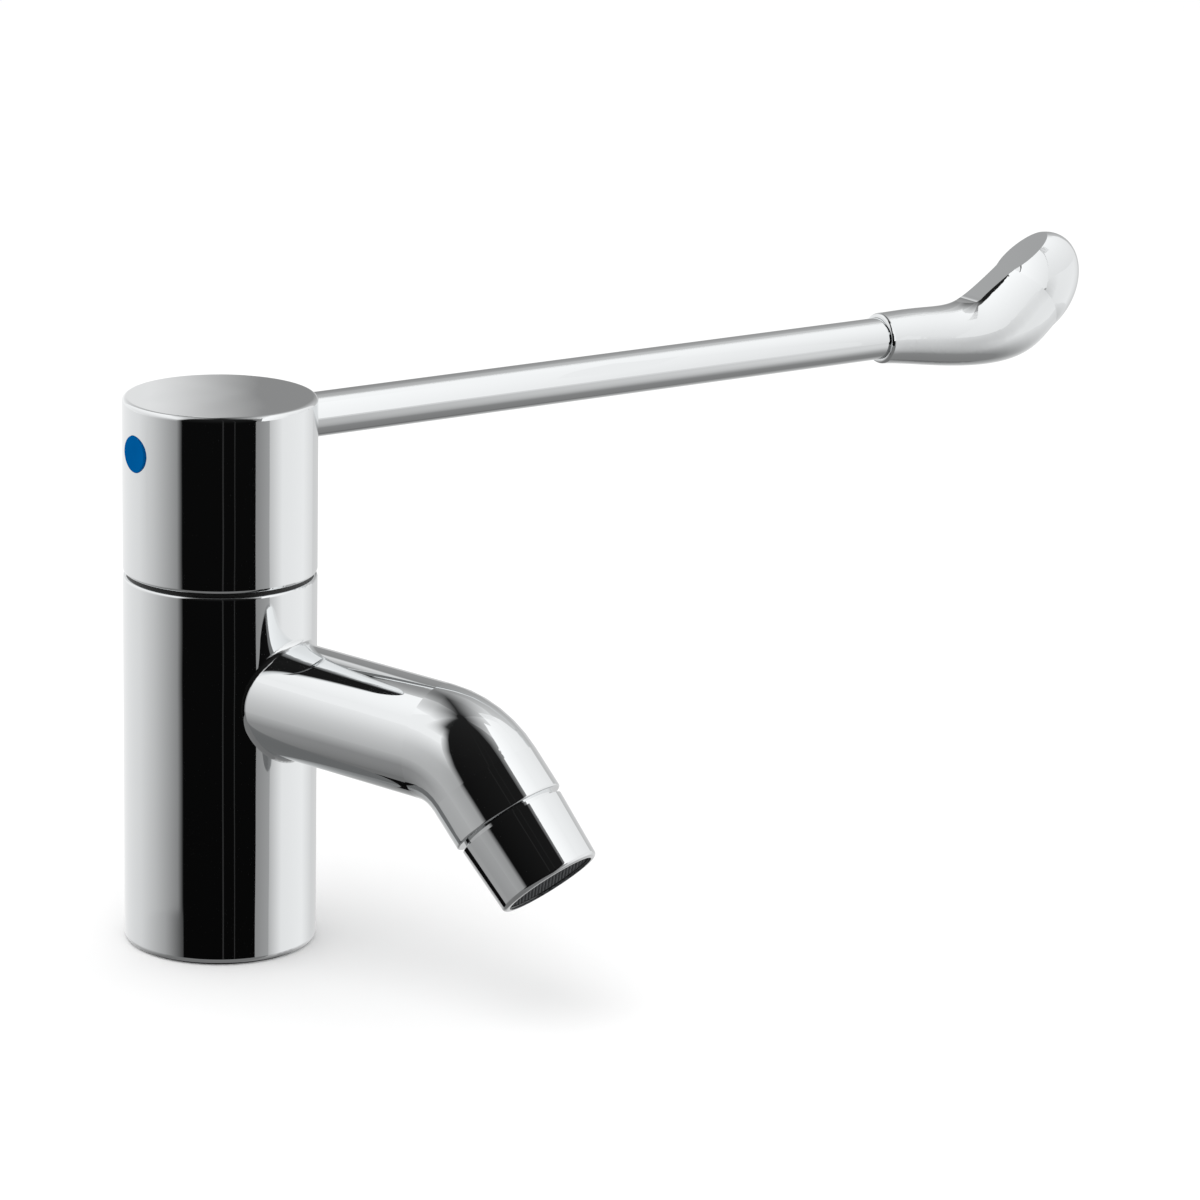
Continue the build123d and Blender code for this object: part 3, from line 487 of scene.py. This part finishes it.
floor_mesh.materials.append(paint)
floor.visible_glossy = False


# Cards round the tap: a studio hangs drapes and grey cards about chrome, because it shows only
# what it mirrors. They are seen in the metal alone. Between them it shows the white all round.
CAMERA_BEARING = radians(-50.5)
TAP_MIDDLE = (0, 0, 0.07)
CARD_DISTANCE = 6.0
CARD_STEP = 1.5

# The cards glow with their greys, which stand in for the light and shade that a studio's lamps
# would give real walls, drapes and cards: painted light, which only the metal mirrors.
card_glow, tree = new_material("card_glow_greys")[:2]
tone = add(tree, "ShaderNodeAttribute", attribute_name="tone")
glow = add(tree, "ShaderNodeEmission", {"Color": tone.outputs["Color"]})
add(tree, "ShaderNodeOutputMaterial", {"Surface": glow.outputs["Emission"]})
card_glow.cycles.emission_sampling = "NONE"


def hang(name, points, columns, tones):
    # A sheet of points in rows that only the metal mirrors, with a grey for each point
    line = columns + 1
    faces = [(first, first + 1, first + line + 1, first + line)
             for first in range(len(points) - line) if first % line < columns]
    mesh = bpy.data.meshes.new(name)
    mesh.from_pydata(points, [], faces)
    shades = mesh.color_attributes.new("tone", "FLOAT_COLOR", "POINT")
    for shade, grey in zip(shades.data, tones):
        shade.color = (grey, grey, grey, 1)
    mesh.materials.append(card_glow)
    sheet = stand(name, mesh)
    for rays in ("camera", "diffuse", "transmission", "volume_scatter", "shadow"):
        setattr(sheet, "visible_" + rays, False)


def between(ends, share):
    # The value at a share of the way from the first to the second
    return ends[0] + (ends[1] - ends[0]) * share


def card(name, bearings, rises, low, high, centre=TAP_MIDDLE, distance=CARD_DISTANCE):
    # A bent card. Its edges are bearings from the camera's side, to its right, and rises above
    # the level, in degrees. Its greys run from left to right along the lower and the upper edge.
    columns = max(2, round((bearings[1] - bearings[0]) / CARD_STEP))
    rows = max(2, round((rises[1] - rises[0]) / CARD_STEP))
    points, tones = [], []
    for row in range(rows + 1):
        rise = radians(between(rises, row / rows))
        for column in range(columns + 1):
            share = column / columns
            bearing = CAMERA_BEARING + radians(between(bearings, share))
            towards = Vector((cos(rise) * sin(bearing), -cos(rise) * cos(bearing), sin(rise)))
            points.append(Vector(centre) + distance * towards)
            tones.append(between((between(low, share), between(high, share)), row / rows))
    hang(name, points, columns, tones)


BLACK = (0.002, 0.002)
SLIT = (0.03, 0.03)
BENCH = (0.18, 0.18)
CEILING = (0.016, 0.016)
WHITE = (1.0, 1.0)

# A dark bench below, paler where the walls light it
card("bench", (140, 420), (-90, -50), BENCH, BENCH)
card("bench_below_right", (60, 140), (-90, -50), BENCH, (0.28, 0.24))
card("bench_left", (-180, -110), (-50, -34), (0.2, 0.2), (0.45, 0.4))
card("bench_left_shade", (-110, -70), (-50, -34), (0.2, 0.18), (0.4, 0.19))
card("bench_front", (-70, 60), (-50, -24), BENCH, (0.2, 0.2))
card("bench_right_shade", (60, 78), (-50, -24), (0.28, 0.27), (0.45, 0.88))
card("bench_right", (78, 140), (-50, -24), (0.27, 0.24), (0.88, 0.8))
card("bench_far_right", (140, 180), (-50, -24), (0.3, 0.25), (0.8, 0.75))

# The wall at the left, in the shade of the drape at its right end
card("wall_left_foot", (-180, -110), (-34, -20), (0.45, 0.4), (0.97, 0.74))
card("wall_left_foot_shade", (-110, -70), (-34, -20), (0.4, 0.19), (0.74, 0.4))
card("wall_left", (-180, -110), (-20, 4), (0.97, 0.74), (1.06, 0.98))
card("wall_left_dim", (-110, -85), (-20, 4), (0.74, 0.56), (0.98, 0.78))
card("wall_left_shade", (-85, -52), (-20, 4), (0.56, 0.26), (0.78, 0.44))
card("wall_left_high", (-145, -85), (4, 60), (1.0, 0.78), (1.1, 1.1))
card("wall_left_above", (-85, -52), (4, 30), (0.78, 0.44), (0.94, 0.95))
card("drape_foot", (-70, -45), (-34, -20), (0.19, 0.18), (0.4, 0.05))

# Black drapes on the camera's side, with two narrow slits, and their soft left edge
card("drape_edge_low", (-52, -45), (-20, 4), (0.26, 0.002), (0.44, 0.002))
card("drape_edge_middle", (-52, -45), (4, 42), (0.44, 0.002), (0.9, 0.02))
card("drape_edge_fade", (-70, -52), (42, 60), (1.0, 0.9), (0.95, 0.04))
card("drape_edge_high", (-52, -45), (42, 60), (0.9, 0.02), (0.04, 0.01))
card("drape_left", (-45, 2.5), (-24, 86), BLACK, CEILING)
card("drape_first_slit", (2.5, 4), (-24, 86), SLIT, CEILING)
card("drape_middle", (4, 16.3), (-24, 86), BLACK, CEILING)
card("drape_second_slit", (16.3, 17.3), (-24, 86), SLIT, CEILING)
card("drape_right", (17.3, 42), (-24, 86), BLACK, CEILING)

# A grey card beside them, and the wall at the right
card("grey_card", (42, 60), (-24, 42), (0.29, 0.37), (0.08, 0.42))
card("grey_card_high", (42, 75), (42, 86), (0.08, 0.85), CEILING)
card("wall_right_shade", (60, 78), (-24, 4), (0.45, 0.88), (0.85, 0.94))
card("wall_right", (78, 115), (-24, 4), (0.88, 0.96), (0.94, 0.94))
card("wall_right_end", (115, 140), (-24, 4), (0.96, 0.72), (0.94, 0.85))
card("wall_right_high", (60, 140), (4, 60), (0.88, 0.88), (1.1, 1.1))

# The far side: a duller corner, and the edge of the wall that the cap's top mirrors
card("corner_right_low", (140, 180), (-24, 4), (0.75, 0.7), (0.6, 0.6))
card("corner_right", (140, 179.4), (4, 42), (0.6, 0.28), (0.68, 0.28))
card("corner_right_high", (130, 180), (42, 60), (1.0, 0.28), (0.75, 0.03))
card("corner", (179.4, 181), (4, 42), (0.28, 0.85), (0.28, 0.8))
card("corner_left", (-179, -170), (4, 42), (0.85, 1.0), (0.8, 0.34))
card("corner_left_end", (-170, -145), (4, 42), (1.0, 1.0), (0.34, 0.5))
card("corner_left_high", (-180, -145), (42, 60), (0.28, 0.5), (0.05, 0.7))

# A dark ceiling, with light from the walls running up to it
card("ceiling", (-180, 180), (86, 90), CEILING, CEILING)
card("ceiling_far_left", (-180, -150), (60, 86), (0.05, 0.6), CEILING)
card("ceiling_left", (-150, -90), (60, 86), (0.8, 1.0), (0.05, 0.05))
card("ceiling_left_edge", (-90, -70), (60, 86), (1.0, 0.95), (0.05, 0.02))
card("ceiling_drape_fade", (-70, -52), (60, 86), (0.95, 0.04), (0.02, 0.016))
card("ceiling_drape", (-52, -45), (60, 86), (0.04, 0.01), CEILING)
card("ceiling_right", (75, 130), (60, 86), (0.85, 0.85), (0.05, 0.05))
card("ceiling_far_right", (130, 180), (60, 86), (0.7, 0.03), CEILING)

# White cards close to the paddle light the side that is turned to the camera
PADDLE_MIDDLE = (0.19, -0.07, 0.12)
PADDLE_CARD_DISTANCE = 0.3
EDGE_CARD_DISTANCE = 0.1
card("paddle_card", (6, 62), (-4, 72), (1.16, 0.9), (1.16, 1.08), PADDLE_MIDDLE,
     PADDLE_CARD_DISTANCE)
card("paddle_edge_card", (-22, 14), (18, 60), WHITE, WHITE, PADDLE_MIDDLE, EDGE_CARD_DISTANCE)

# A black sleeve round the tail, which would otherwise be mirrored through the floor
SLEEVE_RADIUS = 18.5 * MM
SLEEVE_HEIGHTS = (-55 * MM, -0.5 * MM)
SLEEVE_SIDES = 32
SLEEVE_TONE = 0.004
turns = [2 * pi * side / SLEEVE_SIDES for side in range(SLEEVE_SIDES + 1)]
rim = [(SLEEVE_RADIUS * cos(turn), SLEEVE_RADIUS * sin(turn)) for turn in turns]
hang("tail_sleeve", [(x, y, z) for z in SLEEVE_HEIGHTS for x, y in rim], SLEEVE_SIDES,
     [SLEEVE_TONE] * 2 * len(rim))

# Light: plain white all round, and one soft lamp high above, on the camera's side and a little to
# its left. The lamp gives the floor its shadow, and the metal doesn't mirror it.
LAMP_PLACE = (-0.5, -0.1, 1.3)
LAMP_AIM = (0, 0, 0.05)
LAMP_SIZE = (1.2, 0.9)
LAMP_WATTS = 5.0

world = bpy.data.worlds.new("white_studio")
world.use_nodes = True
world.node_tree.nodes.clear()
white = add(world.node_tree, "ShaderNodeBackground", {"Color": (1, 1, 1, 1)})
add(world.node_tree, "ShaderNodeOutputWorld", {"Surface": white.outputs[0]})
bpy.context.scene.world = world

lamp_data = bpy.data.lights.new("overhead_softbox", "AREA")
lamp_data.shape = "RECTANGLE"
lamp_data.size, lamp_data.size_y = LAMP_SIZE
lamp_data.energy = LAMP_WATTS
lamp = stand("overhead_softbox", lamp_data)
lamp.location = LAMP_PLACE
lamp.rotation_euler = (Vector(LAMP_AIM) - lamp.location).to_track_quat("-Z", "Y").to_euler()
lamp.visible_glossy = False

# Camera: a long lens a metre away, above the tap. It looks down, a little to the right of the
# tap's axis, and is held almost level.
CAMERA_DISTANCE = 1.0257
CAMERA_HEIGHT = 0.3677
CAMERA_PAN = radians(4.7045)
CAMERA_PITCH = radians(15.7081)
CAMERA_ROLL = radians(1.2649)
SENSOR_WIDTH_MM = 36
LENS_MM = 143.83
FARTHEST_SEEN = 20

camera_data = bpy.data.cameras.new("camera")
camera_data.sensor_width = SENSOR_WIDTH_MM
camera_data.lens = LENS_MM
camera_data.clip_end = FARTHEST_SEEN
camera = stand("camera", camera_data)
position = Matrix.Rotation(CAMERA_BEARING, 4, "Z") @ Vector((0, -CAMERA_DISTANCE, CAMERA_HEIGHT))
camera.matrix_world = (Matrix.Translation(position)
                       @ Matrix.Rotation(CAMERA_BEARING - CAMERA_PAN, 4, "Z")
                       @ Matrix.Rotation(pi / 2 - CAMERA_PITCH, 4, "X")
                       @ Matrix.Rotation(CAMERA_ROLL, 4, "Z"))
bpy.context.scene.camera = camera
bpy.context.scene.view_settings.view_transform = "Standard"
